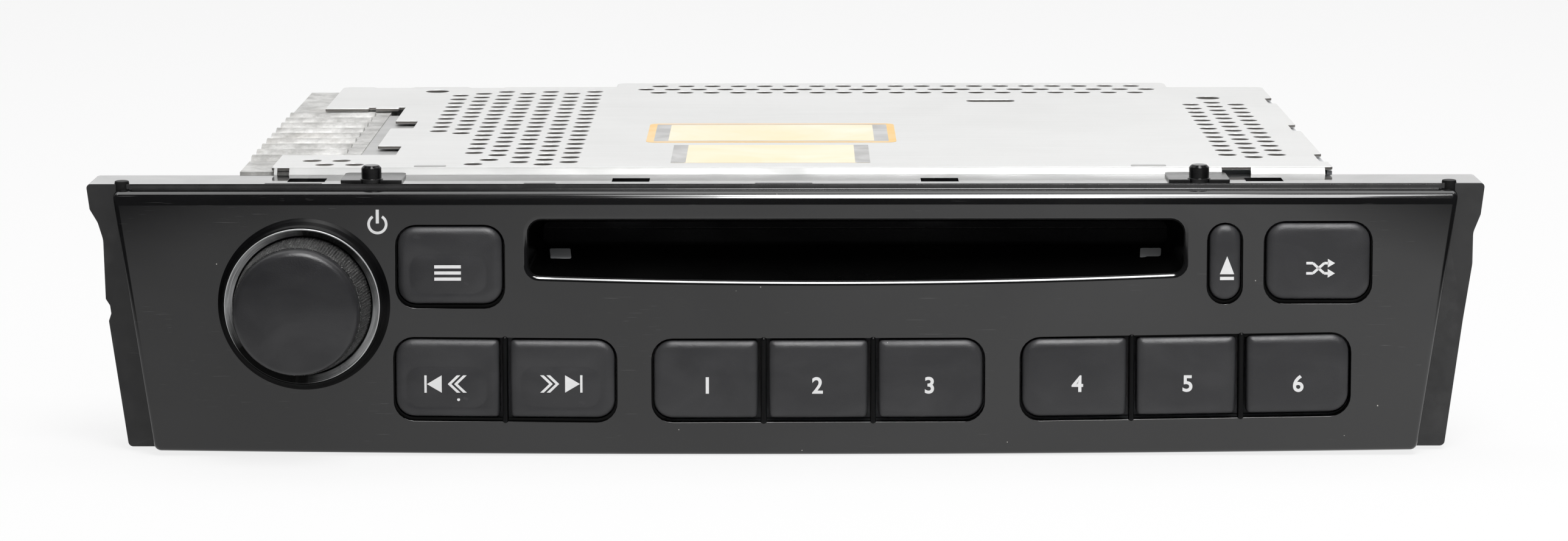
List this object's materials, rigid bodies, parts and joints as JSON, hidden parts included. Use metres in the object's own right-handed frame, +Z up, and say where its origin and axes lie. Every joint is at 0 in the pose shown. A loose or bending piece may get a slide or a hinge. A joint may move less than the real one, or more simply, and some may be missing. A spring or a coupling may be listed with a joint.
{
  "type": "car disc player",
  "caption": "Dashboard disc player with a slot-loading front panel, volume knob, press keys, steel chassis, side heat sink and working disc mechanism.",
  "frame": {"origin": "bottom centre of the whole unit, on the surface it stands on", "axes": "+X to the right as seen from the front, +Y from the panel back into the dashboard, +Z up"},
  "size_m": [0.2738, 0.1801, 0.0564],
  "materials": {
    "gloss_black": "high-gloss black moulding",
    "frame_black": "gloss black moulding",
    "key_black": "fine-grain soft-touch black",
    "knob_black": "soft-touch black",
    "knurl_grey": "fine-knurled dark grey",
    "bright_ring": "bright ring",
    "clip_black": "black painted steel",
    "cover_steel": "pale zinc-plated steel",
    "chassis_steel": "zinc-plated steel",
    "cast_aluminium": "as-cast aluminium",
    "board_green": "solder-mask green",
    "chip_black": "moulded epoxy",
    "capacitor_sleeve": "shrink sleeve",
    "tin_can": "tinned steel",
    "contact_metal": "plated contacts",
    "screw_steel": "zinc-plated screw",
    "silicone": "silicone",
    "felt_black": "black felt",
    "black_rubber": "black rubber",
    "white_nylon": "natural nylon",
    "grey_acetal": "grey acetal",
    "black_plastic": "black moulding",
    "motor_can": "plated motor can",
    "lens_glass": "coated lens"
  },
  "bodies": {
    "root": {"front_panel": "gloss_black", "trim_frame": "frame_black", "left_locating_clip": "clip_black", "right_locating_clip": "clip_black", "panel_screws": "clip_black", "knob_ring": "bright_ring", "volume_encoder": "black_plastic", "rubber_keypad": "silicone", "front_circuit_board": "board_green", "board_screws": "screw_steel", "board_connector": "white_nylon", "slot_felts": "felt_black", "lower_chassis": "chassis_steel", "top_cover": "cover_steel", "heat_sink": "cast_aluminium", "cover_screws": "screw_steel", "main_circuit_board": "board_green", "processor_chips": "chip_black", "capacitors": "capacitor_sleeve", "tuner_module": "tin_can", "amplifier_chip": "chip_black", "rear_connector": "black_plastic", "connector_pins": "contact_metal", "aerial_socket": "tin_can", "rear_stud": "screw_steel", "deck_brackets": "chassis_steel", "deck_dampers": "black_rubber", "deck_plate": "chassis_steel", "roller_bushes": "white_nylon", "spindle_motor": "motor_can", "guide_rods": "screw_steel", "loading_motor": "motor_can", "sled_motor": "motor_can", "disc_guide": "black_plastic"},
    "volume_push": {"switch_plunger": "grey_acetal"},
    "volume_turn": {"encoder_shaft": "screw_steel", "volume_knob": "knurl_grey", "knob_cap": "knob_black"},
    "turntable": {"turntable": "grey_acetal"},
    "clamp_arm": {"clamp_arm": "chassis_steel"},
    "clamp_puck": {"clamp_puck": "black_plastic"},
    "pickup": {"pickup_sled": "black_plastic", "pickup_lens": "lens_glass"},
    "lead_screw": {"lead_screw": "white_nylon"},
    "sled_pinion": {"sled_pinion": "white_nylon"},
    "feed_roller": {"feed_roller": "black_rubber", "roller_shaft": "screw_steel"},
    "loading_gear": {"loading_gear": "white_nylon"},
    "loading_pinion": {"loading_pinion": "white_nylon"},
    "mode_button": {"mode_button": "key_black"},
    "previous_button": {"previous_button": "key_black"},
    "next_button": {"next_button": "key_black"},
    "preset_button_1": {"preset_button_1": "key_black"},
    "preset_button_2": {"preset_button_2": "key_black"},
    "preset_button_3": {"preset_button_3": "key_black"},
    "preset_button_4": {"preset_button_4": "key_black"},
    "preset_button_5": {"preset_button_5": "key_black"},
    "preset_button_6": {"preset_button_6": "key_black"},
    "eject_button": {"eject_button": "key_black"},
    "mix_button": {"mix_button": "key_black"}
  },
  "joints": [
    {"name": "mode_press", "type": "slide", "parent": "root", "child": "mode_button", "axis": [0, 0.9986, -0.0523], "range_m": [0, 0.001], "stiffness_N_per_m": 500},
    {"name": "previous_press", "type": "slide", "parent": "root", "child": "previous_button", "axis": [0, 0.9986, -0.0523], "range_m": [0, 0.001], "stiffness_N_per_m": 500},
    {"name": "next_press", "type": "slide", "parent": "root", "child": "next_button", "axis": [0, 0.9986, -0.0523], "range_m": [0, 0.001], "stiffness_N_per_m": 500},
    {"name": "preset_1_press", "type": "slide", "parent": "root", "child": "preset_button_1", "axis": [0, 0.9986, -0.0523], "range_m": [0, 0.001], "stiffness_N_per_m": 500},
    {"name": "preset_2_press", "type": "slide", "parent": "root", "child": "preset_button_2", "axis": [0, 0.9986, -0.0523], "range_m": [0, 0.001], "stiffness_N_per_m": 500},
    {"name": "preset_3_press", "type": "slide", "parent": "root", "child": "preset_button_3", "axis": [0, 0.9986, -0.0523], "range_m": [0, 0.001], "stiffness_N_per_m": 500},
    {"name": "preset_4_press", "type": "slide", "parent": "root", "child": "preset_button_4", "axis": [0, 0.9986, -0.0523], "range_m": [0, 0.001], "stiffness_N_per_m": 500},
    {"name": "preset_5_press", "type": "slide", "parent": "root", "child": "preset_button_5", "axis": [0, 0.9986, -0.0523], "range_m": [0, 0.001], "stiffness_N_per_m": 500},
    {"name": "preset_6_press", "type": "slide", "parent": "root", "child": "preset_button_6", "axis": [0, 0.9986, -0.0523], "range_m": [0, 0.001], "stiffness_N_per_m": 500},
    {"name": "eject_press", "type": "slide", "parent": "root", "child": "eject_button", "axis": [0, 0.9986, -0.0523], "range_m": [0, 0.001], "stiffness_N_per_m": 500},
    {"name": "mix_press", "type": "slide", "parent": "root", "child": "mix_button", "axis": [0, 0.9986, -0.0523], "range_m": [0, 0.001], "stiffness_N_per_m": 500},
    {"name": "volume_press", "type": "slide", "parent": "root", "child": "volume_push", "axis": [0, 0.9986, -0.0523], "range_m": [0, 0.0008], "stiffness_N_per_m": 1200},
    {"name": "volume_rotation", "type": "hinge", "parent": "volume_push", "child": "volume_turn", "pos_m": [-0.0942, -0.07331, 0.02986], "axis": [0, 0.9986, -0.0523], "continuous": true},
    {"name": "disc_spin", "type": "hinge", "parent": "root", "child": "turntable", "pos_m": [0.01385, 0.019, 0.038], "axis": [0, 0, 1], "continuous": true},
    {"name": "clamp_lower", "type": "hinge", "parent": "root", "child": "clamp_arm", "pos_m": [-0.0504, 0.019, 0.0466], "axis": [0, 1, 0], "range_deg": [0, 3], "stiffness_Nm_per_rad": 0.6, "springref_deg": -5.73},
    {"name": "puck_spin", "type": "hinge", "parent": "clamp_arm", "child": "clamp_puck", "pos_m": [0.01385, 0.019, 0.05], "axis": [0, 0, 1], "continuous": true},
    {"name": "lead_screw_turn", "type": "hinge", "parent": "root", "child": "lead_screw", "pos_m": [0.05, 0.044, 0.0295], "axis": [1, 0, 0], "range_deg": [0, 4080.5]},
    {"name": "pickup_travel", "type": "slide", "parent": "root", "child": "pickup", "axis": [1, 0, 0], "range_m": [0, 0.034]},
    {"name": "sled_pinion_turn", "type": "hinge", "parent": "root", "child": "sled_pinion", "pos_m": [0.019, 0.05152, 0.02676], "axis": [1, 0, 0], "range_deg": [-6801, 0]},
    {"name": "roller_turn", "type": "hinge", "parent": "root", "child": "feed_roller", "pos_m": [0.01385, -0.044, 0.03575], "axis": [1, 0, 0], "continuous": true},
    {"name": "loading_gear_turn", "type": "hinge", "parent": "root", "child": "loading_gear", "pos_m": [0.0799, -0.03167, 0.03077], "axis": [1, 0, 0], "continuous": true},
    {"name": "loading_pinion_turn", "type": "hinge", "parent": "root", "child": "loading_pinion", "pos_m": [0.0799, -0.02076, 0.02447], "axis": [1, 0, 0], "continuous": true}
  ],
  "couplings": [
    {"joint": "lead_screw_turn", "follows": "pickup_travel", "rad_per_m": 2094.4},
    {"joint": "sled_pinion_turn", "follows": "pickup_travel", "rad_per_m": -3490.7},
    {"joint": "loading_gear_turn", "follows": "roller_turn", "ratio": -0.58333},
    {"joint": "loading_pinion_turn", "follows": "roller_turn", "ratio": 1.1667}
  ]
}
